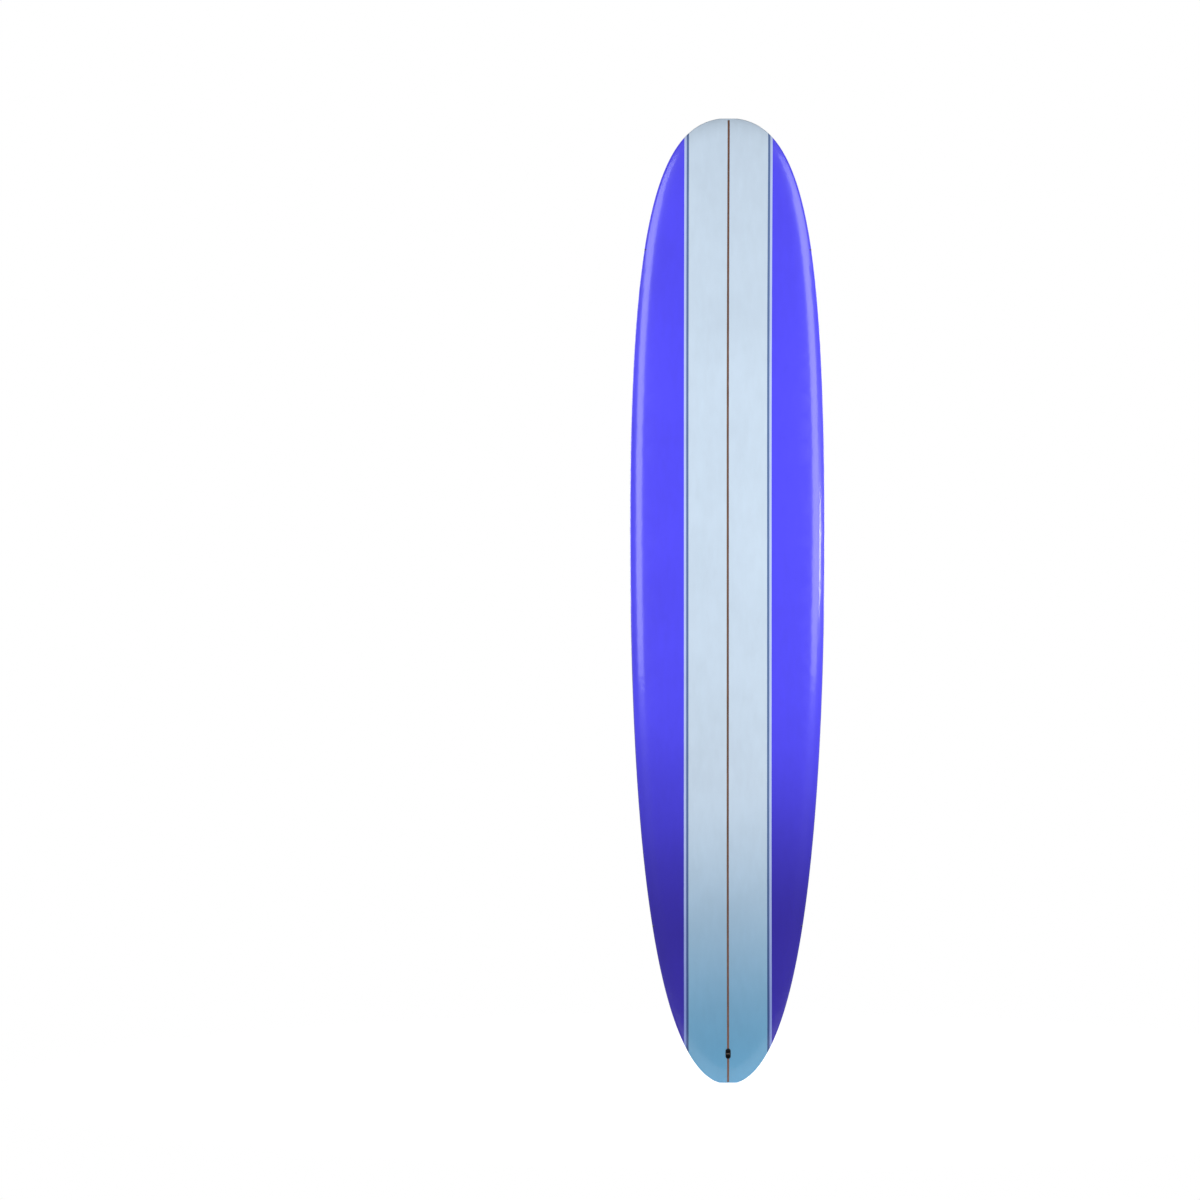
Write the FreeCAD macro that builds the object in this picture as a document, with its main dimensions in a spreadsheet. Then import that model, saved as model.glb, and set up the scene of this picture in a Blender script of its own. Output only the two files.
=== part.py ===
import FreeCAD, Part
import Sketcher
import math
import os
from FreeCAD import Placement, Rotation, Vector

# A nine-foot soft-top longboard that stands on its tail: +Z runs from the tail to the nose,
# +X runs across the board, the deck faces -Y and the bottom with its three fins faces +Y.
# All sizes are millimetres.

SIZES = {
    # the blank: outline, rocker and thickness
    "board_length": 2743,
    "board_width": 559,
    "board_thickness": 76,
    "wide_point": 1594,         # height of the widest section above the tail
    "nose_roundness": 196,      # half-width that the nose keeps level before it turns down
    "nose_fullness": 261,       # how far below the nose the outline is drawn to full width
    "tail_roundness": 126,
    "tail_fullness": 262,
    "nose_crop": 1.5,           # the small flat that squares off each tip
    "tail_crop": 4,
    "nose_rocker": 150,
    "tail_rocker": 90,
    "flat_start": 900,          # the bottom is straight from here ...
    "flat_end": 1700,           # ... to here
    "nose_thickness": 27,
    "tail_thickness": 25,
    "thick_point": 1400,
    "taper_power": 2.5,         # how late the thickness drops towards the tips
    "deck_crown": 0.26,         # share of the thickness that the deck loses from stringer to rail
    "tip_roll": 160,            # the crown also rolls off this far before each tip
    "apex_share": 0.4,          # height of the rail's apex, as a share of the thickness
    "deck_shoulder": 46,        # width of the rail's rounding on the deck side
    "bottom_shoulder": 27,      # width of the rail's rounding on the bottom side
    "bottom_flat_cut": 0.4,     # the slick bottom is planed flat by this much in the middle
    # the foam core and the skins
    "skin_depth": 5,            # deck and rail foam
    "slick_depth": 4,           # hard bottom skin
    "core_end_gap": 9,          # the core stops short of the tips
    "stringer_width": 6,
    "stringer_gap": 0.5,        # between each end of the stringer and the deck skin's edge
    "glue_gap": 0.2,            # between the stringer and the skins that it is glued into
    "deck_edge": 6,             # the deck skin ends this far inside the outline
    "rail_tuck": 10,            # the rail wraps this far under the bottom
    "bumper_tuck": 20,          # the bumpers wrap this far under the bottom
    "bead_width": 3.2,
    "bead_proud": 1,
    "nose_bumper_length": 367,
    "tail_bumper_length": 443,
    # deck stripes, measured from the stringer line
    "band_half_nose": 112,
    "band_half_tail": 122.5,
    "dark_pinline": 5.5,
    "white_pinline": 7.5,
    # fins and their boxes
    "center_fin_height": 265,
    "side_fin_height": 545,
    "side_fin_inset": 72,       # from the outline to the middle of a side fin
    "side_fin_cant": 4,
    "side_fin_toe": 1.5,
    "fin_root": 130,
    "fin_depth": 155,
    "fin_thickness": 9,
    "fin_tip_thickness": 3,
    "fin_gap": 0.3,             # clearance between a fin and its box, on every side
    "tab_overlap": 2,           # how far a tab runs up into its blade
    "tab_length": 36,
    "tab_thickness": 6.5,
    "tab_depth": 15,
    "tab_spacing": 64,
    "flange_front": 144,        # from the flange's widest place forwards
    "flange_rear": 96,
    "flange_width": 76,
    "flange_aft": 19,           # the widest place lies this far aft of the fin's middle
    "flange_proud": 5,
    "flange_sunk": 3,
    "flange_round": 4.4,
    "box_length": 122,
    "box_width": 27,
    "box_depth": 19,
    "screw_diameter": 6,
    "screw_length": 10,
    "screw_recess": 1.2,
    "screw_web": 0.8,           # wall left between a screw and its tab's slot
    "screw_socket": 3,
    "screw_socket_depth": 4,
    # leash plug
    "plug_height": 83,
    "plug_slot_length": 26,
    "plug_slot_width": 11,
    "plug_wall": 1.8,
    "plug_proud": 0.5,
    "plug_depth": 20,
    "plug_floor": 2.5,
    "pin_diameter": 4.5,
    "pin_depth": 4.6,           # from the deck to the pin's axis
    "pin_seat": 1.2,            # how far each end of the pin sits in the cup's wall
}

doc = FreeCAD.newDocument("surfboard")
sheet = doc.addObject("Spreadsheet::Sheet", "sizes")
for row, (name, value) in enumerate(SIZES.items(), start=1):
    sheet.set(f"A{row}", name)
    sheet.set(f"B{row}", str(value))
    sheet.setAlias(f"B{row}", name)
doc.recompute()


def size(name):
    """The value of one cell of the sheet."""
    return float(sheet.get(name))


LENGTH = size("board_length")
HALF_WIDTH = size("board_width") / 2
REACH = LENGTH                   # larger than anything that a cutting block has to cover
TAIL_TIP = -size("tail_crop")    # where the uncropped outline would come to its tips
NOSE_TIP = LENGTH + size("nose_crop")

# How finely the curved surfaces and lines are measured out
OUTLINE_STEPS = 30
SECTION_STEPS = 22
PROFILE_STEPS = 24
TOLERANCE = 1e-3

# ---------------------------------------------------------------- helpers for the document


def bind(obj, **cells):
    """Binds properties of an object to expressions on the sheet."""
    for prop, expression in cells.items():
        obj.setExpression(prop.replace("__", "."), expression)
    return obj


def feature(name, shape, placement=None):
    """A document object that holds a shape worked out in code."""
    obj = doc.addObject("Part::Feature", name)
    obj.Label = name
    obj.Shape = shape
    if placement is not None:
        obj.Placement = placement
    return obj


def cut(name, base, *tools):
    """Base minus every tool."""
    tool = tools[0] if len(tools) == 1 else fuse(name + "_tools", *tools)
    obj = doc.addObject("Part::Cut", name)
    obj.Label = name
    obj.Base = base
    obj.Tool = tool
    return obj


def common(name, *objects):
    """What all the objects share."""
    obj = doc.addObject("Part::MultiCommon", name)
    obj.Label = name
    obj.Shapes = list(objects)
    return obj


def fuse(name, *objects):
    """All the objects as one; pieces that don't touch stay separate solids."""
    obj = doc.addObject("Part::MultiFuse", name)
    obj.Label = name
    obj.Shapes = list(objects)
    obj.Refine = True
    return obj


def mirrored(name, source):
    """The left-hand copy of a right-hand piece."""
    obj = doc.addObject("Part::Mirroring", name)
    obj.Label = name
    obj.Source = source
    obj.Normal = Vector(1, 0, 0)
    return obj


# ---------------------------------------------------------------- the board's form


def roll(distance, width):
    """The rail's elliptic rounding: 0 at the apex, 1 where it meets the flat."""
    inward = 1 - min(max(distance / width, 0), 1)
    return math.sqrt(1 - inward ** 2)


def rocker(height):
    """How far the bottom has curved away from its straight part at this height."""
    if height < size("flat_start"):
        run, rise, along = size("flat_start"), size("tail_rocker"), size("flat_start") - height
    elif height > size("flat_end"):
        run, rise, along = LENGTH - size("flat_end"), size("nose_rocker"), height - size("flat_end")
    else:
        return 0.0
    radius = (run ** 2 + rise ** 2) / (2 * rise)
    return radius - math.sqrt(radius ** 2 - along ** 2)


def thickness(height):
    """Thickness on the stringer at this height, before the tips are rounded."""
    if height < size("thick_point"):
        tip, share = size("tail_thickness"), (size("thick_point") - height) / size("thick_point")
    else:
        tip = size("nose_thickness")
        share = (height - size("thick_point")) / (LENGTH - size("thick_point"))
    swell = 1 - min(share, 1) ** size("taper_power")
    return tip + (size("board_thickness") - tip) * swell


# The fins reach furthest to +Y and the nose furthest to -Y; the frame's Y zero lies midway.
NOSE_SHARE = 0.7      # share of the nose's thickness that lies beyond the end of the rocker
FIN_LEAN_LOSS = 10    # what a side fin's lean towards the tail takes off its reach
NOSE_REACH = size("nose_rocker") + size("nose_thickness") * NOSE_SHARE
FIN_REACH = (
    size("fin_depth") + size("flange_proud") - rocker(size("side_fin_height")) - FIN_LEAN_LOSS
)
BOTTOM_Y = (NOSE_REACH - FIN_REACH) / 2


def bottom_y(height):
    return BOTTOM_Y - rocker(height)


def apex_y(height):
    return bottom_y(height) - thickness(height) * size("apex_share")


def deck_rise(height, share):
    """Height of the deck over the apex at a share of the half-width, inside the rail's rounding."""
    from_tip = min(height - TAIL_TIP, NOSE_TIP - height)
    crowned = (1 - share ** 2) * roll(from_tip, size("tip_roll"))
    return thickness(height) * (1 - size("apex_share") - size("deck_crown") * (1 - crowned))


def deck_y(height):
    return apex_y(height) - deck_rise(height, 0)


def bezier(*poles):
    curve = Part.BezierCurve()
    curve.setPoles([Vector(across, 0, height) for across, height in poles])
    return curve


TAIL_CURVE = bezier(
    (0, TAIL_TIP),
    (size("tail_roundness"), TAIL_TIP),
    (HALF_WIDTH, size("tail_fullness")),
    (HALF_WIDTH, size("wide_point")),
)
NOSE_CURVE = bezier(
    (HALF_WIDTH, size("wide_point")),
    (HALF_WIDTH, LENGTH - size("nose_fullness")),
    (size("nose_roundness"), NOSE_TIP),
    (0, NOSE_TIP),
)


def inset_point(curve, parameter, inset):
    """A point of the right-hand outline, moved inwards by inset along its normal."""
    tangent = curve.tangent(parameter)[0]
    outward = Vector(tangent.z, 0, -tangent.x)
    return curve.value(parameter) - outward * inset


def parameter_at(curve, height, inset):
    """Where the inset outline crosses a height."""
    low, high = 0.0, 1.0
    for _ in range(60):
        middle = (low + high) / 2
        if inset_point(curve, middle, inset).z < height:
            low = middle
        else:
            high = middle
    return low


def half_width(height):
    """Half-width of the board at a height in its tail half."""
    return TAIL_CURVE.value(parameter_at(TAIL_CURVE, height, 0)).x


def outline_points(inset, lowest, highest, steps):
    """Points up the right-hand side, from one height to another, close together at the tips."""
    first = parameter_at(TAIL_CURVE, lowest, inset)
    last = parameter_at(NOSE_CURVE, highest, inset)
    tail = [inset_point(TAIL_CURVE, first + (1 - first) * i / steps, inset) for i in range(steps)]
    nose = [inset_point(NOSE_CURVE, last * i / steps, inset) for i in range(steps + 1)]
    return tail + nose


def edge_distance(point):
    """Distance of a point of the planform from the outline."""
    gaps = []
    for curve in (TAIL_CURVE, NOSE_CURVE):
        nearest = curve.value(min(max(curve.parameter(point), 0), 1))
        gaps.append(nearest.distanceToPoint(point))
    return min(gaps)


def section(edge, inset, deck_lift, bottom_lift):
    """One cross-section, from the deck's middle round the rail to the bottom's middle."""
    apex = apex_y(edge.z)
    bottom_drop = thickness(edge.z) * size("apex_share")
    deck_side, bottom_side = [], []
    for i in range(SECTION_STEPS + 1):
        share = math.sin(math.pi / 2 * i / SECTION_STEPS)
        point = Vector(edge.x * share, 0, edge.z)
        distance = edge_distance(point) - inset
        up = (deck_rise(edge.z, share) - deck_lift) * roll(distance, size("deck_shoulder") - inset)
        down = (bottom_drop - bottom_lift) * roll(distance, size("bottom_shoulder") - inset)
        deck_side.append(Vector(point.x, apex - up, point.z))
        bottom_side.append(Vector(point.x, apex + down, point.z))
    return deck_side[:-1] + [Vector(edge.x, apex, edge.z)] + bottom_side[-2::-1]


def half_board(name, inset, deck_lift, bottom_lift, end_gap):
    """The right-hand half of the board, or of the form that lies inset inside it."""
    edges = outline_points(inset, end_gap, LENGTH - end_gap, OUTLINE_STEPS)
    rows = [section(edge, inset, deck_lift, bottom_lift) for edge in edges]
    surface = Part.BSplineSurface()
    surface.interpolate(rows)
    skin = surface.toShape()
    middle = [edge for edge in skin.Edges if edge.BoundBox.XMax < TOLERANCE]
    level = [edge for edge in skin.Edges if edge.BoundBox.ZLength < TOLERANCE]
    tips = [edge for edge in level if edge.BoundBox.XMax > TOLERANCE]
    faces = [skin]
    closings = []
    for tip in tips:
        ends = [v.Point for v in tip.Vertexes]
        closing = Part.LineSegment(ends[0], ends[1]).toShape()
        closings.append(closing)
        faces.append(Part.Face(Part.Wire([tip, closing])))
    faces.append(Part.Face(Part.Wire(Part.__sortEdges__(middle + closings))))
    shell = Part.makeShell(faces)
    shell.sewShape()
    solid = Part.makeSolid(shell)
    if solid.Volume < 0:
        solid.reverse()
    return feature(name, solid)


def profile_slab(name, profile):
    """Everything on the +Y side of a side profile, across the whole width."""
    heights = [LENGTH * i / PROFILE_STEPS for i in range(PROFILE_STEPS + 1)]
    curve = Part.BSplineCurve()
    curve.interpolate([Vector(-REACH, profile(height), height) for height in heights])
    low, high = curve.StartPoint, curve.EndPoint
    low_tail = low - Vector(0, 0, size("board_width"))
    high_nose = high + Vector(0, 0, size("board_width"))
    away = Vector(0, REACH, 0)
    wire = Part.Wire([
        Part.LineSegment(low_tail, low).toShape(),
        curve.toShape(),
        Part.LineSegment(high, high_nose).toShape(),
        Part.LineSegment(high_nose, high_nose + away).toShape(),
        Part.LineSegment(high_nose + away, low_tail + away).toShape(),
        Part.LineSegment(low_tail + away, low_tail).toShape(),
    ])
    return feature(name, Part.Face(wire).extrude(Vector(2 * REACH, 0, 0)))


def plan_prism(name, inset):
    """The right-hand half of the inset outline, cut right through the board."""
    edges = outline_points(inset, inset, LENGTH - inset, PROFILE_STEPS)
    curve = Part.BSplineCurve()
    curve.interpolate(edges)
    low, high = curve.StartPoint, curve.EndPoint
    corners = [high, Vector(0, 0, high.z), Vector(0, 0, low.z), low]
    lines = [Part.LineSegment(a, b).toShape() for a, b in zip(corners, corners[1:])]
    wire = Part.Wire([curve.toShape()] + lines)
    prism = Part.Face(wire).extrude(Vector(0, 2 * REACH, 0))
    return feature(name, prism, Placement(Vector(0, -REACH, 0), Rotation()))


def stripe_prism(name, inner, outer):
    """A deck stripe between two lines, each given as its offsets at the tail and at the nose."""
    (tail_in, nose_in), (tail_out, nose_out) = inner, outer
    corners = [
        Vector(tail_in, 0, 0),
        Vector(tail_out, 0, 0),
        Vector(nose_out, 0, LENGTH),
        Vector(nose_in, 0, LENGTH),
    ]
    prism = Part.Face(Part.makePolygon(corners + corners[:1])).extrude(Vector(0, 2 * REACH, 0))
    return feature(name, prism, Placement(Vector(0, -REACH, 0), Rotation()))


def block(name, low, high, **cells):
    """A plain cutting block between two corners, with any of its sizes bound to the sheet."""
    obj = doc.addObject("Part::Box", name)
    obj.Label = name
    obj.Placement = Placement(low, Rotation())
    obj.Length, obj.Width, obj.Height = (high - low)
    return bind(obj, **cells)


blank = half_board("blank_half", 0, 0, 0, 0)
plane_y = BOTTOM_Y - size("bottom_flat_cut")
planing = block("planing_block", Vector(-REACH, plane_y, -REACH), Vector(REACH, REACH, 2 * REACH))
planed = cut("planed_half", blank, planing)
core_form = half_board(
    "core_form", size("skin_depth"), size("skin_depth"), size("slick_depth"), size("core_end_gap")
)
skins = cut("skins_half", planed, core_form)

# The skins part along two side profiles: the deck skin from the rail, and the rail from the slick.


def deck_parting(height):
    """Where the deck skin's edge lies on the rounding of the rail."""
    return apex_y(height) - deck_rise(height, 1) * roll(size("deck_edge"), size("deck_shoulder"))


below_deck_edge = profile_slab("below_deck_edge", deck_parting)
below_apex = profile_slab("below_apex", apex_y)
deck_half = cut("deck_half", skins, below_deck_edge)
side_half = common("side_half", skins, below_deck_edge)

stringer_side = block(
    "stringer_side",
    Vector(0, -REACH, -REACH),
    Vector(size("stringer_width") / 2, REACH, 2 * REACH),
    Length="sizes.stringer_width / 2",
)
stringer_ends = size("deck_edge") + size("stringer_gap")
stringer_zone = block(
    "stringer_zone",
    Vector(-REACH, -REACH, TAIL_TIP + stringer_ends),
    Vector(REACH, REACH, NOSE_TIP - stringer_ends),
)
slot_half_width = size("stringer_width") / 2 + size("glue_gap")
slot_ends = stringer_ends - size("glue_gap")
stringer_slot_block = block(
    "stringer_slot_block",
    Vector(-slot_half_width, -REACH, TAIL_TIP + slot_ends),
    Vector(slot_half_width, REACH, NOSE_TIP - slot_ends),
)
nose_start = LENGTH - size("nose_bumper_length")
tail_end = size("tail_bumper_length")
corner = Vector(-REACH, -REACH, 0)
nose_zone = block("nose_zone", corner + Vector(0, 0, nose_start), Vector(REACH, REACH, 2 * REACH))
tail_zone = block("tail_zone", corner - Vector(0, 0, REACH), Vector(REACH, REACH, tail_end))
middle_zone = block("middle_zone", corner + Vector(0, 0, tail_end), Vector(REACH, REACH, nose_start))

# ---------------------------------------------------------------- frames and simple solids


def surface_frame(across, height, profile, facing):
    """A frame on the board's surface: local Z points out of it and local X towards the tail."""
    step = 1.0
    slope = math.atan2(profile(height + step) - profile(height - step), 2 * step)
    upward = Vector(0, math.sin(slope), math.cos(slope))
    outward = Vector(0, math.cos(slope), -math.sin(slope)) * facing
    rotation = Rotation(upward * -1, Vector(), outward, "ZXY")
    return Placement(Vector(across, profile(height), height), rotation)


def local_box(name, frame, centre, top, length, width, depth):
    """A box in a local frame, centred on a point, with its top at a level."""
    obj = doc.addObject("Part::Box", name)
    obj.Label = name
    bind(obj, Length=length, Width=width, Height=depth)
    doc.recompute([obj])
    corner_at = Vector(
        centre[0] - obj.Length.Value / 2, centre[1] - obj.Width.Value / 2, top - obj.Height.Value
    )
    obj.Placement = frame * Placement(corner_at, Rotation())
    return obj


def local_cylinder(name, frame, centre, top, radius, depth):
    """An upright cylinder in a local frame, with its top at a level."""
    obj = doc.addObject("Part::Cylinder", name)
    obj.Label = name
    bind(obj, Radius=radius, Height=depth)
    doc.recompute([obj])
    foot = Vector(centre[0], centre[1], top - obj.Height.Value)
    obj.Placement = frame * Placement(foot, Rotation())
    return obj


def local_slot(name, frame, top, length, width, depth):
    """A solid with straight sides and round ends, long along local X."""
    straight = local_box(name + "_straight", frame, (0, 0), top, f"{length} - {width}", width, depth)
    reach = straight.Length.Value / 2
    ends = [
        local_cylinder(f"{name}_end_{i}", frame, (side * reach, 0), top, f"({width}) / 2", depth)
        for i, side in enumerate((-1, 1))
    ]
    return fuse(name, straight, *ends)


# ---------------------------------------------------------------- leash plug

plug_frame = surface_frame(0, size("plug_height"), deck_y, -1)
plug_hull = local_slot(
    "plug_hull",
    plug_frame,
    size("plug_proud"),
    "(sizes.plug_slot_length + 2 * sizes.plug_wall)",
    "(sizes.plug_slot_width + 2 * sizes.plug_wall)",
    "sizes.plug_depth + sizes.plug_floor",
)
plug_hollow = local_slot(
    "plug_hollow",
    plug_frame,
    size("plug_proud"),
    "sizes.plug_slot_length",
    "sizes.plug_slot_width",
    "sizes.plug_depth",
)
leash_pin = local_cylinder(
    "leash_pin",
    plug_frame
    * Placement(Vector(0, 0, -size("pin_depth")), Rotation(Vector(1, 0, 0), 90)),
    (0, 0),
    size("plug_slot_width") / 2 + size("pin_seat"),
    "sizes.pin_diameter / 2",
    "sizes.plug_slot_width + 2 * sizes.pin_seat",
)
leash_cup = cut("leash_cup", plug_hull, plug_hollow, leash_pin)

# ---------------------------------------------------------------- fins and their boxes

# Fin sections from the root to the tip: share of the depth, then the leading edge, the
# trailing edge and the thickness as shares of the root's length and thickness.
FIN_SECTIONS = [
    (0.00, 0.00, 1.00, 1.00),
    (0.13, 0.17, 1.02, 0.95),
    (0.29, 0.33, 1.07, 0.88),
    (0.48, 0.46, 1.19, 0.80),
    (0.66, 0.60, 1.36, 0.70),
    (0.79, 0.77, 1.52, 0.60),
    (0.89, 0.94, 1.62, 0.50),
    (0.96, 1.10, 1.64, 0.40),
    (1.00, 1.30, 1.53, 0.25),
]
# The foil of a section: share of the chord and share of the half-thickness.
FOIL = [(0, 0), (0.03, 0.42), (0.12, 0.78), (0.35, 1.0), (0.7, 0.66), (1.0, 0.12)]


def foil_wire(lead, trail, thick, level):
    """One foil section of a fin, round in front and thin behind."""
    chord = trail - lead
    sides = []
    for sign in (1, -1):
        curve = Part.BSplineCurve()
        curve.interpolate([
            Vector(lead + along * chord, sign * across * thick / 2, level) for along, across in FOIL
        ])
        sides.append(curve)
    rear = Part.LineSegment(sides[0].EndPoint, sides[1].EndPoint)
    return Part.Wire([sides[0].toShape(), rear.toShape(), sides[1].toShape()])


def fin_blade(name, frame, seat):
    """The swept blade, lofted through its foil sections."""
    root, depth = size("fin_root"), size("fin_depth") - seat
    tip_share = size("fin_tip_thickness") / size("fin_thickness")
    wires = []
    for share, lead, trail, thick in FIN_SECTIONS:
        thickness_here = size("fin_thickness") * (tip_share + (1 - tip_share) * thick)
        level = seat + depth * share
        wires.append(foil_wire((lead - 0.5) * root, (trail - 0.5) * root, thickness_here, level))
    return feature(name, Part.makeLoft(wires, True), frame)


def flange(name, frame):
    """The oval plate that shows on the bottom, widest behind its middle, with a rolled rim."""
    body = doc.addObject("PartDesign::Body", name)
    body.Label = name
    sketch = body.newObject("Sketcher::SketchObject", name + "_oval")
    ground = next(f for f in body.Origin.OriginFeatures if f.Role == "XY_Plane")
    sketch.AttachmentSupport = [(ground, "")]
    sketch.MapMode = "FlatFace"
    sketch.setExpression("AttachmentOffset.Base.z", "-sizes.flange_sunk")
    middle = Vector(size("flange_aft"), 0, 0)
    side = Vector(0, size("flange_width") / 2, 0)
    for reach, start in ((size("flange_front"), 0.5), (size("flange_rear"), -0.5)):
        oval = Part.Ellipse(middle + Vector(reach, 0, 0), middle + side, middle)
        sketch.addGeometry(Part.ArcOfEllipse(oval, start * math.pi, (start + 1) * math.pi), False)
    sketch.addConstraint(Sketcher.Constraint("Coincident", 0, 2, 1, 1))
    sketch.addConstraint(Sketcher.Constraint("Coincident", 1, 2, 0, 1))
    pad = body.newObject("PartDesign::Pad", name + "_plate")
    pad.Profile = sketch
    pad.setExpression("Length", "sizes.flange_sunk + sizes.flange_proud")
    doc.recompute()
    top = size("flange_proud") - 1e-3
    rims = [i for i, e in enumerate(pad.Shape.Edges, start=1) if e.BoundBox.ZMin > top]
    rim = body.newObject("PartDesign::Fillet", name + "_rim")
    rim.Base = (pad, [f"Edge{i}" for i in rims])
    rim.setExpression("Radius", "sizes.flange_round")
    body.Placement = frame
    return body


def fin_set(side, across, height, lean):
    """A fin, its box and its two grub screws; lean is 1 or -1 for a side fin and 0 in the middle."""
    toe = Rotation(Vector(0, 0, 1), -lean * size("side_fin_toe"))
    cant = Rotation(Vector(1, 0, 0), lean * size("side_fin_cant"))
    seat_frame = surface_frame(across, height, bottom_y, 1) * Placement(Vector(), toe)
    fin_frame = seat_frame * Placement(Vector(), cant)
    tilt_rise = size("fin_thickness") / 2 * math.tan(math.radians(abs(lean) * size("side_fin_cant")))
    seat = size("flange_proud") + size("fin_gap") + tilt_rise
    half_spacing = size("tab_spacing") / 2
    root = seat + size("tab_overlap")
    tabs, slots, screws, sockets, holes = [], [], [], [], []
    screw_across = (size("tab_thickness") + size("screw_diameter")) / 2 + size("screw_web")
    for i, along in enumerate((-half_spacing, half_spacing)):
        place = (along, 0)
        tabs.append(local_box(
            f"tab_{side}_{i}", fin_frame, place, root,
            "sizes.tab_length", "sizes.tab_thickness", "sizes.tab_depth + sizes.tab_overlap",
        ))
        slots.append(local_box(
            f"slot_{side}_{i}", fin_frame, place, root,
            "sizes.tab_length + 2 * sizes.fin_gap",
            "sizes.tab_thickness + 2 * sizes.fin_gap",
            "sizes.tab_depth + sizes.tab_overlap + sizes.fin_gap",
        ))
        beside = (along, screw_across)
        head = size("flange_proud") - size("screw_recess")
        holes.append(local_cylinder(
            f"screw_hole_{side}_{i}", fin_frame, beside, root,
            "sizes.screw_diameter / 2",
            f"sizes.screw_length + {root - head}",
        ))
        screw = local_cylinder(
            f"screw_{side}_{i}", fin_frame, beside, head,
            "sizes.screw_diameter / 2", "sizes.screw_length",
        )
        key = doc.addObject("Part::Prism", f"screw_key_{side}_{i}")
        bind(key, Circumradius="sizes.screw_socket / 2 / cos(30)", Height="sizes.screw_socket_depth")
        foot = Vector(beside[0], beside[1], head - size("screw_socket_depth"))
        key.Placement = fin_frame * Placement(foot, Rotation())
        screws.append(cut(f"grub_screw_{side}_{i}", screw, key))
    block_top = -size("flange_sunk") / 2
    socket_block = local_box(
        f"socket_block_{side}", seat_frame, (0, 0), block_top,
        "sizes.box_length", "sizes.box_width", "sizes.box_depth - sizes.flange_sunk / 2",
    )
    envelope = fuse(f"box_envelope_{side}", flange(f"flange_{side}", seat_frame), socket_block)
    cut(f"fin_box_{side}", envelope, *slots, *holes)
    fuse(f"fin_screws_{side}", *screws)
    fuse(f"fin_{side}", fin_blade(f"blade_{side}", fin_frame, seat), *tabs)
    return envelope


side_fin_across = half_width(size("side_fin_height")) - size("side_fin_inset")
envelopes = {
    side: fin_set(side, across, height, lean)
    for side, across, height, lean in (
        ("center", 0, size("center_fin_height"), 0),
        ("right", side_fin_across, size("side_fin_height"), 1),
        ("left", -side_fin_across, size("side_fin_height"), -1),
    )
}

# ---------------------------------------------------------------- core, stringer and skins

core_half = cut("core_half", core_form, stringer_side)


def slick_top(height):
    """The side of the slick bottom that faces the core."""
    return bottom_y(height) - size("slick_depth")


slick_layer = profile_slab("slick_layer", lambda height: slick_top(height) - size("glue_gap"))
stringer_slot = cut("stringer_slot", stringer_slot_block, profile_slab("slot_floor", slick_top))
stringer_strip = common("stringer_strip", planed, stringer_side, stringer_zone)
stringer_half = cut("stringer_half", stringer_strip, slick_layer)
stringer = cut(
    "stringer",
    fuse("stringer_board", stringer_half, mirrored("stringer_mirror", stringer_half)),
    plug_hull,
    envelopes["center"],
)
cut("core_right", core_half, envelopes["right"], envelopes["center"], plug_hull)
cut("core_left", mirrored("core_mirror", core_half), envelopes["left"], envelopes["center"], plug_hull)

# The slick bottom ends inside the bead, and further in where a bumper wraps over it.
slick_plan = plan_prism("slick_plan", size("rail_tuck") + size("bead_width"))
rail_plan = plan_prism("rail_plan", size("rail_tuck"))
bumper_plan = plan_prism("bumper_plan", size("bumper_tuck"))
slick_parts = [
    common(f"slick_{name}", side_half, below_apex, zone, plan)
    for name, zone, plan in (
        ("middle", middle_zone, slick_plan),
        ("nose", nose_zone, bumper_plan),
        ("tail", tail_zone, bumper_plan),
    )
]
slick_half = fuse("slick_half", *slick_parts)
cut(
    "bottom_skin",
    fuse("slick_sheet", slick_half, mirrored("slick_mirror", slick_half)),
    *envelopes.values(),
)

bead_form = half_board("bead_form", *[-size("bead_proud")] * 3, 0)
bead_ring = cut("bead_ring", rail_plan, slick_plan)
bead_skin = cut("bead_skin", bead_form, core_form)
bead = common("edge_bead_right", bead_skin, below_apex, middle_zone, bead_ring)
mirrored("edge_bead_left", bead)

rail = cut(
    "rail_right",
    common("rail_stretch", side_half, middle_zone),
    common("under_rail", below_apex, rail_plan),
)
mirrored("rail_left", rail)

under_bumper = common("under_bumper", below_apex, bumper_plan)
for tip, zone in (("nose", nose_zone), ("tail", tail_zone)):
    bumper_half = cut(f"{tip}_bumper_half", common(f"{tip}_stretch", side_half, zone), under_bumper)
    bumper = fuse(f"{tip}_wrap", bumper_half, mirrored(f"{tip}_bumper_mirror", bumper_half))
    cut(f"{tip}_bumper", bumper, stringer_slot)

# ---------------------------------------------------------------- deck stripes

centre_line = (size("stringer_width") / 2,) * 2
band_line = (size("band_half_tail"), size("band_half_nose"))
dark_line = tuple(offset + size("dark_pinline") for offset in band_line)
white_line = tuple(offset + size("white_pinline") for offset in dark_line)
past_rail = (REACH / 2,) * 2
for name, inner, outer in (
    ("pinline_dark", band_line, dark_line),
    ("pinline_white", dark_line, white_line),
    ("deck_panel", white_line, past_rail),
):
    stripe = common(f"{name}_right", deck_half, stripe_prism(f"{name}_prism", inner, outer))
    mirrored(f"{name}_left", stripe)

band = common("band_strip", deck_half, stripe_prism("band_prism", centre_line, band_line))
cut("deck_band_right", band, plug_hull)
cut("deck_band_left", mirrored("band_mirror", band), plug_hull)

# ---------------------------------------------------------------- the finished pieces

NODES = ["stringer", "bottom_skin", "nose_bumper", "tail_bumper", "leash_cup", "leash_pin"]
for piece in ("core", "rail", "edge_bead", "deck_band", "pinline_dark", "pinline_white", "deck_panel"):
    NODES += [f"{piece}_left", f"{piece}_right"]
for piece in ("fin", "fin_box", "fin_screws"):
    NODES += [f"{piece}_left", f"{piece}_right", f"{piece}_center"]

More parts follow.
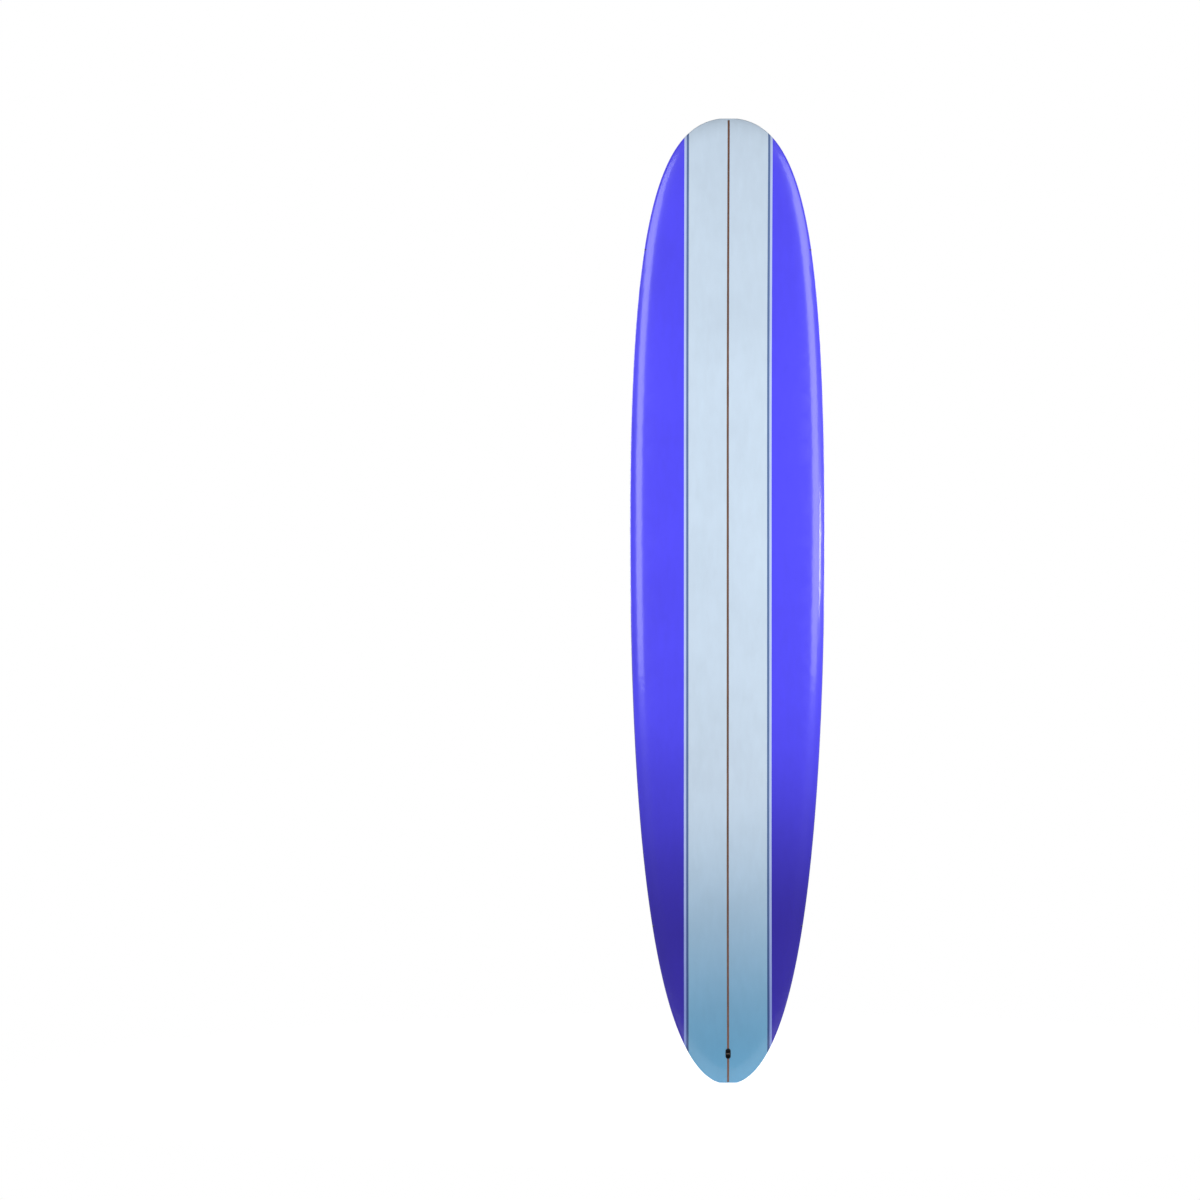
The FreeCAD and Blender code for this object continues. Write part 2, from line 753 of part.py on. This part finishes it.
doc.recompute()
failed = [obj.Label for obj in doc.Objects if {"Invalid", "Error"} & set(obj.State)]
if failed:
    raise RuntimeError(f"these objects failed: {failed}")

os.makedirs("parts", exist_ok=True)
for node in NODES:
    shape = doc.getObjectsByLabel(node)[0].Shape
    if shape.isNull() or not shape.isValid() or shape.Volume <= 0:
        raise RuntimeError(f"{node} has no sound shape")
    shape.exportStep(f"parts/{node}.step")
    print(f"{node}: {len(shape.Solids)} solid(s), {shape.Volume / 1000:.1f} cm3")
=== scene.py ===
# %% [markdown]
# # A nine-foot soft-top longboard
# The board arrives as a finished assembly: foam core, stringer, striped deck skins, rails, bumpers,
# slick bottom, fin boxes and fins. This lesson leaves every size alone. It gives each piece its own
# surface, softens the few edges that a moulded or hand-wrapped piece would have, and lights the
# board the way a shop shows it. Everything is in metres: +Z runs to the nose, the deck faces -Y.

# %% Load the assembly
import math
import bpy
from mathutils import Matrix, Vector


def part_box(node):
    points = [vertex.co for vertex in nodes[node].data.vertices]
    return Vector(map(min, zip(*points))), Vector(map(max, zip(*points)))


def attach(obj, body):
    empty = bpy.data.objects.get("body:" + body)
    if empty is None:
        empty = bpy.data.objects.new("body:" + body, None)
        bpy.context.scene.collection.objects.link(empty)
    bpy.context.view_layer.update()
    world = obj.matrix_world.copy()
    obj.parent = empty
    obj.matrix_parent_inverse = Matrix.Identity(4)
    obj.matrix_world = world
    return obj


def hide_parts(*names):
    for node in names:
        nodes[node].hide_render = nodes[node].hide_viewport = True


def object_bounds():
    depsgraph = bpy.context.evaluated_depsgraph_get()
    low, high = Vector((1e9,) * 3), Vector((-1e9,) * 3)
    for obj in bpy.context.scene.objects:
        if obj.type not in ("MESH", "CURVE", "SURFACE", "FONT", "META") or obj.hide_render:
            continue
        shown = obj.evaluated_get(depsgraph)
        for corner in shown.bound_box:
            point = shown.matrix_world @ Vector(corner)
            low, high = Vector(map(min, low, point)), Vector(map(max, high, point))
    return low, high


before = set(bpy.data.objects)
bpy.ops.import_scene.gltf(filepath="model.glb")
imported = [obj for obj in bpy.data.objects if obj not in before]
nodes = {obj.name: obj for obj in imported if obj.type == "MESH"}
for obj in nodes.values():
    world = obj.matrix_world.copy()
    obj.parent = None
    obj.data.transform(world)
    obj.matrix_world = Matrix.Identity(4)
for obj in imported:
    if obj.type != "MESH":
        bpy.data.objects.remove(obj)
cad_low, cad_high = [Vector(corner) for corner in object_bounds()]
length = cad_high.z - cad_low.z
middle = (cad_low + cad_high) / 2
print(f"{len(nodes)} pieces, {length:.3f} m long")

# %% [markdown]
# ## Camera
# A long lens from far away keeps the two pinlines straight. The board stands right of the middle
# of the view, so the camera stands to its left and looks straight along +Y, at half its height.

# %% Set up the camera
lens_mm = 135
sensor_mm = 36
view_height = length * 1.256
board_offset = view_height * 0.106
camera_height = middle.z + 0.005
camera_distance = view_height * lens_mm / sensor_mm

bpy.ops.object.camera_add(
    location=(-board_offset, -camera_distance, camera_height),
    rotation=(math.radians(90), 0, 0),
)
camera = bpy.context.object
camera.name = "camera"
camera.data.lens = lens_mm
camera.data.sensor_width = sensor_mm
camera.data.clip_end = 60
bpy.context.scene.camera = camera
print(f"the view is {view_height:.2f} m high at the board, seen from {camera_distance:.1f} m")

# %% [markdown]
# ## Shader maths
# A finish is mostly a few sums: a grain times a strength, a band between two heights. Adding a Math
# node for each by hand hides that. This class wraps one socket, so that the sum can be written as a
# sum, and its one other method adds any other kind of node.


# %% A class that turns sums into nodes
class Wire:
    """One socket in a node tree."""

    def __init__(self, tree, socket=None):
        self.tree = tree
        self.socket = socket

    def node(self, kind, settings=None, inputs=None, output=0):
        """Adds a node: its settings first, then the values or wires of its sockets."""
        made = self.tree.nodes.new("ShaderNode" + kind)
        for name, value in (settings or {}).items():
            if name == "stops":
                for place, colour in value[2:]:
                    made.color_ramp.elements.new(place)
                for stop, (place, colour) in zip(made.color_ramp.elements, value):
                    stop.position = place
                    stop.color = (*colour, 1)
            else:
                setattr(made, name, value)
        for key, value in (inputs or {}).items():
            if isinstance(value, Wire):
                self.tree.links.new(value.socket, made.inputs[key])
            else:
                made.inputs[key].default_value = value
        return Wire(self.tree, made.outputs[output])

    def maths(self, operation, *values):
        return self.node("Math", {"operation": operation}, dict(enumerate(values)))

    def __add__(self, other):
        return self.maths("ADD", self, other)

    def __sub__(self, other):
        return self.maths("SUBTRACT", self, other)

    def __rsub__(self, other):
        return self.maths("SUBTRACT", other, self)

    def __mul__(self, other):
        return self.maths("MULTIPLY", self, other)

    __radd__ = __add__
    __rmul__ = __mul__

    def away_from(self, value):
        """How far this is from a value, either way."""
        return self.maths("ABSOLUTE", self - value)

    def ramp(self, low, high, start=0.0, end=1.0):
        """Goes smoothly from start to end as this goes from low to high."""
        limits = {"From Min": low, "From Max": high, "To Min": start, "To Max": end}
        settings = {"interpolation_type": "SMOOTHSTEP"}
        return self.node("MapRange", settings, {"Value": self, **limits})

    def mix(self, first, second):
        """A colour that is first where this is 0 and second where it is 1."""
        return self.node("Mix", {"data_type": "RGBA"}, {0: self, 6: first, 7: second}, 2)


def colour(red, green, blue):
    """A colour picked on a screen, as the linear light that the shader works in."""
    return tuple((part / 255) ** 2.2 for part in (red, green, blue)) + (1,)


def shade(tint, factor):
    """A darker or lighter version of a colour."""
    return tuple(part * factor for part in tint[:3]) + (1,)


# %% [markdown]
# ## The room
# The world is white where the camera looks past the board, and dimmer as a source of light, so that
# the lamps can model the form. A pale disc is the floor, and it melts into the white at its rim.
# Two tall soft lamps stand in front, one on each side, at seven tenths of the board's height, so the
# light falls away towards the tail. Nearer the board, a narrow strip on the right draws the bright
# line down the rail, and two more lamps, high up behind, show the bottom and the fins.

# %% World and floor
scene = bpy.context.scene
scene.view_settings.view_transform = "Standard"
world = bpy.data.worlds.new("studio")
scene.world = world
world.use_nodes = True
world.node_tree.nodes.clear()
sky = Wire(world.node_tree)
direct = sky.node("LightPath", output="Is Camera Ray")
ambient = 0.30
strength = direct * (1 - ambient) + ambient
lit = sky.node("Background", None, {"Color": (1, 1, 1, 1), "Strength": strength})
output = world.node_tree.nodes.new("ShaderNodeOutputWorld")
world.node_tree.links.new(lit.socket, output.inputs["Surface"])

floor_radius = 2.4
bpy.ops.mesh.primitive_circle_add(vertices=96, radius=floor_radius, fill_type="NGON")
floor = bpy.context.object
floor.name = "floor"


def blank_material(name):
    """A material with its default shader, the wire to build its pattern with, and the shader."""
    made = bpy.data.materials.new(name)
    made.use_nodes = True
    tree = made.node_tree
    return made, Wire(tree), tree.nodes["Principled BSDF"]


def connect(wire, shader, **sockets):
    """Sets or links the sockets of a shader; names are written with _ for a space."""
    for name, value in sockets.items():
        socket = shader.inputs[name.replace("_", " ")]
        if isinstance(value, Wire):
            wire.tree.links.new(value.socket, socket)
        else:
            socket.default_value = value


floor_paint, wire, shader = blank_material("floor_paint")
place = wire.node("TexCoord", output="Object")
from_middle = wire.node("VectorMath", {"operation": "LENGTH"}, {0: place}, "Value")
fade = from_middle.ramp(floor_radius * 0.15, floor_radius * 0.9, 1.0, 0.0)
connect(wire, shader, Base_Color=(0.85, 0.85, 0.85, 1), Roughness=0.95, Alpha=fade)
connect(wire, shader, Emission_Color=(1, 1, 1, 1), Emission_Strength=0.72, Specular_IOR_Level=0.1)
floor.data.materials.append(floor_paint)
print(f"floor {2 * floor_radius:.1f} m across")

# %% Lamps


def lamp(name, place, aim, width, height, watts):
    """A rectangular soft lamp that points at a place on the board."""
    bpy.ops.object.light_add(type="AREA", location=place)
    made = bpy.context.object
    made.name = name
    made.data.shape = "RECTANGLE"
    made.data.size = width
    made.data.size_y = height
    made.data.energy = watts
    made.rotation_euler = (Vector(aim) - Vector(place)).to_track_quat("-Z", "Y").to_euler()
    return made


chest = length * 0.70
back_height = length * 0.8
back_aim = length * 0.62
strip_height = length * 0.56
for side in (-1, 1):
    lamp(f"front_{side}", (side * 1.5, -1.25, chest), (0, 0, chest), 0.9, 1.7, 22)
    lamp(f"back_{side}", (side * 2.0, 2.4, back_height), (0, 0, back_aim), 1.4, 1.8, 33)
lamp("rail_strip", (1.5, -0.45, strip_height), (0.25, 0, strip_height), 0.12, 0.4, 5)
print("five lamps")

# %% [markdown]
# ## Foam skins
# The deck, pinlines, rails and bumpers are closed-cell foam sheet with a shiny printed film on top.
# The film shows fine pebbled cells, slow waves where it was pressed on by hand, and slightly uneven
# colour. A picture of foam would stretch over the rails, so the pattern is worked out from the place
# in space instead: a cell pattern two millimetres across for the pebbles and slow noise for the rest.
# The deck's print is a set of stripes, with painted shade that deepens them towards the tail, the side
# panels sooner than the rest. The printed film is pulled over the rail's shoulder before it ends, so
# rails and bumpers take the deck's print where they face the deck, and their own colour elsewhere.


# %% Noise, place and bump
def slow_noise(wire, place, scale, detail=3.0):
    """Soft random values from 0 to 1, with about this many waves per metre."""
    inputs = {"Vector": place, "Scale": scale, "Detail": detail, "Roughness": 0.55}
    return wire.node("TexNoise", None, inputs)


def stretched(wire, place, across, along):
    """The place in space, squeezed so that a pattern on it runs along the board."""
    factors = {0: place, 1: (across, across, along)}
    return wire.node("VectorMath", {"operation": "MULTIPLY"}, factors)


def height_of(wire, place):
    return wire.node("SeparateXYZ", None, {0: place}, "Z")


def bumped(wire, height, distance):
    return wire.node("Bump", None, {"Height": height, "Distance": distance})


# %% Stripes of the deck's print, with painted shade towards the tail
dark_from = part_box("pinline_dark_right")[0][0]
dark_overlap = 0.001
white_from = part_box("pinline_white_right")[0][0] + dark_overlap
panel_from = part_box("deck_panel_right")[0][0]
# heights over which painted shade darkens the stripes towards the tail
early = (0.02, 0.92)
late = (0.40, 1.12)
# distance from the middle, tint, tint at the tail with painted shade, heights between which the
# painted shade deepens
stripes = (
    (0, colour(203, 221, 239), colour(94, 152, 188), early),
    (dark_from, colour(92, 116, 164), colour(42, 70, 124), early),
    (white_from, colour(188, 204, 248), colour(118, 134, 200), early),
    (panel_from, colour(80, 73, 252), colour(45, 31, 158), late),
)
stripe_edge = 0.0003


def deck_print_and_painted_shade(wire, place, up):
    """The deck's printed colour at a place, by its distance from the middle, with painted shade by its
    height.
    """
    across = wire.node("SeparateXYZ", None, {0: place}, "X").away_from(0)
    print_and_shade_colour = None
    for start, tint, painted_shade_tail_tint, fade in stripes:
        # painted shade: the stripe's colour darkens towards the tail
        here = up.ramp(*fade).mix(painted_shade_tail_tint, tint)
        beyond = across.ramp(start, start + stripe_edge)
        print_and_shade_colour = beyond.mix(print_and_shade_colour, here) if print_and_shade_colour else here
    return print_and_shade_colour


# %% Film over foam
lap_ends = (-0.34, -0.30)
seam_width = (0.0006, 0.0022)


def foam_film(name, own_tint=None, seams=(), roughness=0.3, coat=0.45, pebble=1.0):
    """Printed film over foam sheet, which shows its own tint where it doesn't face the deck.

    A seam is a height at which two sheets butt together.
    """
    made, wire, shader = blank_material(name)
    place = wire.node("TexCoord", output="Object")
    cloud = slow_noise(wire, place, 3.0, 4.0)
    fine = slow_noise(wire, stretched(wire, place, 60, 16), 1.0)
    cells = wire.node("TexVoronoi", {"feature": "SMOOTH_F1"}, {"Vector": place, "Scale": 520.0})
    tone = (cloud * 0.75 + fine * 0.25).ramp(0.3, 0.7)
    up = height_of(wire, place)
    # the deck's print, with its painted shade towards the tail
    film = deck_print_and_painted_shade(wire, place, up)
    if own_tint:
        facing = wire.node("TexCoord", output="Normal")
        off_deck = wire.node("SeparateXYZ", None, {0: facing}, "Y").ramp(*lap_ends)
        film = off_deck.mix(film, own_tint)
    base = wire.node("HueSaturation", None, {"Value": tone * 0.11 + 0.94, "Color": film})
    surface = cells * (0.10 * pebble) + fine * 0.35
    for seam in seams:
        groove = up.away_from(seam).ramp(*seam_width)
        base = groove.mix(shade(own_tint, 0.12), base)
        surface = surface + groove * 2.0
    gloss = roughness + (cloud - 0.5) * 0.10 + cells * 0.05
    connect(wire, shader, Base_Color=base, Roughness=gloss, Normal=bumped(wire, surface, 0.0004))
    connect(wire, shader, Coat_Weight=coat, Coat_Roughness=0.12, IOR=1.48)
    return made


def paint(material, *names):
    """Gives nodes of the assembly a material in place of their plain one."""
    for name in names:
        nodes[name].data.materials.clear()
        nodes[name].data.materials.append(material)
    print(f"{material.name}: {', '.join(names)}")


def both(name):
    return f"{name}_left", f"{name}_right"


# %% Deck, rails and bumpers
deck_film = foam_film("deck_film")
for stripe_name in ("deck_panel", "deck_band", "pinline_dark", "pinline_white"):
    paint(deck_film, *both(stripe_name))

navy = colour(8, 16, 112)
purple = colour(96, 76, 126)
nose_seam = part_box("rail_left")[1][2]
tail_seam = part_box("rail_left")[0][2]
seams = (nose_seam, tail_seam)
navy_film = foam_film("navy_film", navy, seams)
bumper_film = foam_film("bumper_film", purple, seams, roughness=0.5, coat=0.15, pebble=2.0)

# %% [markdown]
# ## Wood, hard plastics and metal
# The stringer is a thin sheet of reddish plywood whose edge shows as a line on the deck. Its grain
# runs along the board. The slick bottom is polyethylene sheet, glossy but never quite flat, with
# pinkish and greenish patches where the foam shows through and hair-fine marks from sand that run
# towards the tail. The fins and their boxes are moulded nylon, and the screws are blackened steel.


# %% Stringer wood
def wood():
    made, wire, shader = blank_material("stringer_wood")
    place = wire.node("TexCoord", output="Object")
    grain = slow_noise(wire, stretched(wire, place, 900, 14), 1.0, 5.0)
    patches = slow_noise(wire, stretched(wire, place, 40, 5), 1.0)
    stops = [(0.25, (0.05, 0.022, 0.014)), (0.5, (0.14, 0.055, 0.03)), (0.8, (0.30, 0.13, 0.065))]
    base = wire.node("ValToRGB", {"stops": stops}, {"Fac": grain * 0.7 + patches * 0.3})
    connect(wire, shader, Base_Color=base, Roughness=0.35 + grain * 0.2)
    connect(wire, shader, Normal=bumped(wire, grain, 0.0002), Coat_Weight=0.5, Coat_Roughness=0.1)
    return made


paint(wood(), "stringer")


# %% Slick bottom
def slick():
    made, wire, shader = blank_material("slick_sheet")
    place = wire.node("TexCoord", output="Object")
    waves = slow_noise(wire, place, 7.0, 2.0)
    scratches = slow_noise(wire, stretched(wire, place, 700, 6), 1.0, 2.0).ramp(0.60, 0.68)
    orange_peel = slow_noise(wire, place, 260.0, 1.0)
    tint = colour(203, 198, 206)
    blush = slow_noise(wire, place, 3.2, 1.0).ramp(0.35, 0.65)
    patches = blush.mix(colour(200, 203, 203), colour(210, 200, 210))
    base = waves.ramp(0.3, 0.7).mix(shade(tint, 0.95), patches)
    base = (scratches * 0.25).mix(base, shade(tint, 0.72))
    surface = waves * 1.5 + orange_peel * 0.06 - scratches * 0.10
    connect(wire, shader, Base_Color=base, Roughness=0.20 + scratches * 0.25 + waves * 0.08)
    connect(wire, shader, Normal=bumped(wire, surface, 0.0004), Coat_Weight=0.2, Coat_Roughness=0.06)
    return made


paint(slick(), "bottom_skin")


# %% Moulded nylon
def moulded(name, tint, roughness, gleam, flow=1.0):
    """A moulded plastic. Gleam is how much of the light its surface reflects, half being usual."""
    made, wire, shader = blank_material(name)
    place = wire.node("TexCoord", output="Object")
    swirl = slow_noise(wire, place, 24.0, 4.0)
    texture = slow_noise(wire, place, 900.0, 2.0)
    base = swirl.ramp(0.3, 0.7).mix(shade(tint, 0.75), shade(tint, 1.35))
    connect(wire, shader, Base_Color=base, Roughness=roughness + (swirl - 0.5) * 0.15 + texture * 0.06)
    surface = texture * 0.15 + swirl * flow
    connect(wire, shader, Normal=bumped(wire, surface, 0.0003), Specular_IOR_Level=gleam)
    return made


black = colour(15, 12, 16)
fin_nylon = moulded("fin_nylon", black, 0.34, 0.30)
box_nylon = moulded("box_nylon", black, 0.40, 0.22)
plug_nylon = moulded("plug_nylon", colour(20, 20, 22), 0.35, 0.4)
bead_plastic = moulded("bead_plastic", colour(236, 236, 242), 0.25, 0.5, 0.4)
glue = moulded("glue", colour(150, 132, 140), 0.45, 0.4)


# %% Steel
def steel(name, tint, roughness):
    made, wire, shader = blank_material(name)
    place = wire.node("TexCoord", output="Object")
    turning = slow_noise(wire, stretched(wire, place, 3000, 300), 1.0)
    base = turning.mix(shade(tint, 0.8), shade(tint, 1.1))
    connect(wire, shader, Base_Color=base, Roughness=roughness + turning * 0.15, Metallic=1.0)
    connect(wire, shader, Normal=bumped(wire, turning, 0.00005))
    return made


paint(steel("pin_steel", colour(122, 108, 102), 0.32), "leash_pin")
paint(steel("screw_steel", colour(52, 52, 56), 0.4), *both("fin_screws"), "fin_screws_center")


# %% Foam core
def bead_foam():
    made, wire, shader = blank_material("bead_foam")
    place = wire.node("TexCoord", output="Object")
    beads = wire.node("TexVoronoi", {"feature": "DISTANCE_TO_EDGE"}, {"Vector": place, "Scale": 260.0})
    gaps = beads.ramp(0.0, 0.12)
    base = gaps.mix((0.62, 0.62, 0.60, 1), (0.90, 0.90, 0.88, 1))
    connect(wire, shader, Base_Color=base, Roughness=0.85 - gaps * 0.1)
    connect(wire, shader, Normal=bumped(wire, gaps, 0.0006))
    return made


paint(bead_foam(), *both("core"))

# %% [markdown]
# ## Rolled edges
# A moulding has no sharp edge, and foam that is wrapped round a rail turns over where it ends. Both
# show as a thin bright line that follows each edge. The edge could be faked in the shader, but then
# the outline would stay sharp. So each piece that needs it is a copy of its node with a bevel on its
# sharp edges: the copy's loose triangles are merged first, because a bevel needs edges that two
# faces share. Fins get a generous edge, since they must not cut a leg.


def select_only(piece):
    bpy.ops.object.select_all(action="DESELECT")
    piece.select_set(True)
    bpy.context.view_layer.objects.active = piece


def merged_copy(node, name):
    """A copy of a node's mesh as one skin, at the same place."""
    piece = bpy.data.objects.new(name, nodes[node].data.copy())
    scene.collection.objects.link(piece)
    select_only(piece)
    bpy.ops.object.mode_set(mode="EDIT")
    bpy.ops.mesh.select_all(action="SELECT")
    bpy.ops.mesh.remove_doubles(threshold=1e-6)
    bpy.ops.object.mode_set(mode="OBJECT")
    return piece


def rolled(node, name, material, radius, sharp_from=40, segments=3, body="board", reshape=None):
    """A node's copy with its sharp edges rolled over, which takes the node's place."""
    piece = merged_copy(node, name)
    if reshape:
        reshape(piece)
    bevel = piece.modifiers.new("rolled_edge", "BEVEL")
    bevel.width = radius
    bevel.segments = segments
    bevel.limit_method = "ANGLE"
    bevel.angle_limit = math.radians(sharp_from)
    bpy.ops.object.modifier_apply(modifier="rolled_edge")
    bpy.ops.object.shade_smooth_by_angle(angle=math.radians(35))
    piece.data.materials.clear()
    piece.data.materials.append(material)
    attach(piece, body)
    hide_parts(node)
    print(f"{name}: {len(piece.data.polygons)} faces, edges rolled by {radius * 1000:.1f} mm")


# %% Plug, beads, rails and bumpers
rolled("leash_cup", "leash_plug", plug_nylon, 0.0004, 50, 2)
for side in ("left", "right"):
    rolled(f"edge_bead_{side}", f"bottom_bead_{side}", bead_plastic, 0.0008)
    rolled(f"rail_{side}", f"rail_wrap_{side}", navy_film, 0.0009)
for tip in ("nose", "tail"):
    rolled(f"{tip}_bumper", f"{tip}_guard", bumper_film, 0.0016)

# %% [markdown]
# ## Fins on domed plates
# Each fin slides into a box whose oval plate shows on the bottom. The plate is a shallow dome, full
# height under the fin and thin at its rim. The assembly's plate is flat on top, and a flat face has
# no points to move. So the copy is first sliced on a grid, as one would score it by hand, and then
# each of its points is let down by a share of its height that grows with the square of its distance
# from the middle. A subdivision surface would round the slots as well, which have to fit the fin's
# tabs.


# %% Let a plate down towards its rim
plate_height = 0.005
rim_drop = 0.55
slice_width = 0.008


def reach(points, middle, direction):
    """The lowest and highest place of some points along a direction."""
    places = [(point - middle).dot(direction) for point in points]
    return min(places), max(places)


def dome(piece):
    faces = [face for face in piece.data.polygons if face.normal.y > 0.9]
    top = max(faces, key=lambda face: face.area)
    outward = top.normal.copy()
    middle = top.center.copy()
    along = (Vector((0, 0, 1)) - outward * outward.z).normalized()
    across = outward.cross(along)
    plate = [v.co for v in piece.data.vertices if (v.co - middle).dot(outward) > -plate_height]
    low, high = reach(plate, middle, along)
    left, right = reach(plate, middle, across)
    middle += along * (low + high) / 2 + across * (left + right) / 2
    half_length, half_width = (high - low) / 2, (right - left) / 2

    bpy.ops.object.mode_set(mode="EDIT")
    for direction, half in ((along, half_length), (across, half_width)):
        slices = math.ceil(2 * half / slice_width)
        for i in range(1, slices):
            bpy.ops.mesh.select_all(action="SELECT")
            cut_at = middle + direction * (2 * i / slices - 1) * half
            bpy.ops.mesh.bisect(plane_co=cut_at, plane_no=direction)
    bpy.ops.object.mode_set(mode="OBJECT")

    for vertex in piece.data.vertices:
        offset = vertex.co - middle
        height = offset.dot(outward) + plate_height
        if height > 0:
            share = (offset.dot(along) / half_length) ** 2 + (offset.dot(across) / half_width) ** 2
            vertex.co -= outward * height * rim_drop * min(share, 1)
    print(f"{piece.name}: plate {2000 * half_length:.0f} x {2000 * half_width:.0f} mm")


for side in ("left", "right", "center"):
    rolled(f"fin_box_{side}", f"fin_plate_{side}", box_nylon, 0.0005, 50, 2, reshape=dome)
    rolled(f"fin_{side}", f"swept_fin_{side}", fin_nylon, 0.0009, 50, 3, f"fin_{side}")

# %% [markdown]
# ## Glue line
# Where the slick bottom meets the white bead, a thin line of glue is squeezed out and shows as a
# faint brownish edge. It follows the sheet's own edge, so drawing a new curve by eye would drift off
# it. Here the edges between the sheet's outer face and its side are picked by their faces'
# directions, split off, and turned into a fine round cord of glue.

# %% Pick the sheet's edge
glue_radius = 0.0008
beyond_plates = 0.19
upright = 0.1
level = 0.3
sheet = merged_copy("bottom_skin", "glue_line")
bpy.ops.object.mode_set(mode="EDIT")
bpy.ops.mesh.select_all(action="DESELECT")
bpy.ops.object.mode_set(mode="OBJECT")
faces_of = {}
for face in sheet.data.polygons:
    for key in face.edge_keys:
        faces_of.setdefault(key, []).append(face.normal)
for edge in sheet.data.edges:
    start, end = (sheet.data.vertices[i].co for i in edge.vertices)
    middle_of_edge = (start + end) / 2
    side_face, outer_face = sorted(faces_of[edge.key], key=lambda normal: normal.y)
    turns_over = abs(side_face.y) < upright and outer_face.y > level
    faces_rail = side_face.x * middle_of_edge.x > 0 and abs(middle_of_edge.x) > beyond_plates
    edge.select = turns_over and faces_rail and tail_seam < middle_of_edge.z < nose_seam
print(f"{sum(edge.select for edge in sheet.data.edges)} edges picked")

# %% Squeeze glue out along it
bpy.ops.object.mode_set(mode="EDIT")
bpy.ops.mesh.select_mode(type="EDGE")
bpy.ops.mesh.duplicate()
bpy.ops.mesh.select_all(action="INVERT")
bpy.ops.mesh.delete(type="VERT")
bpy.ops.object.mode_set(mode="OBJECT")
bpy.ops.object.convert(target="CURVE")
sheet.data.bevel_depth = glue_radius
sheet.data.bevel_resolution = 1
bpy.ops.object.convert(target="MESH")
bpy.ops.object.shade_smooth()
sheet.data.materials.clear()
sheet.data.materials.append(glue)
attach(sheet, "board")
print(f"glue line: {len(sheet.data.polygons)} faces")
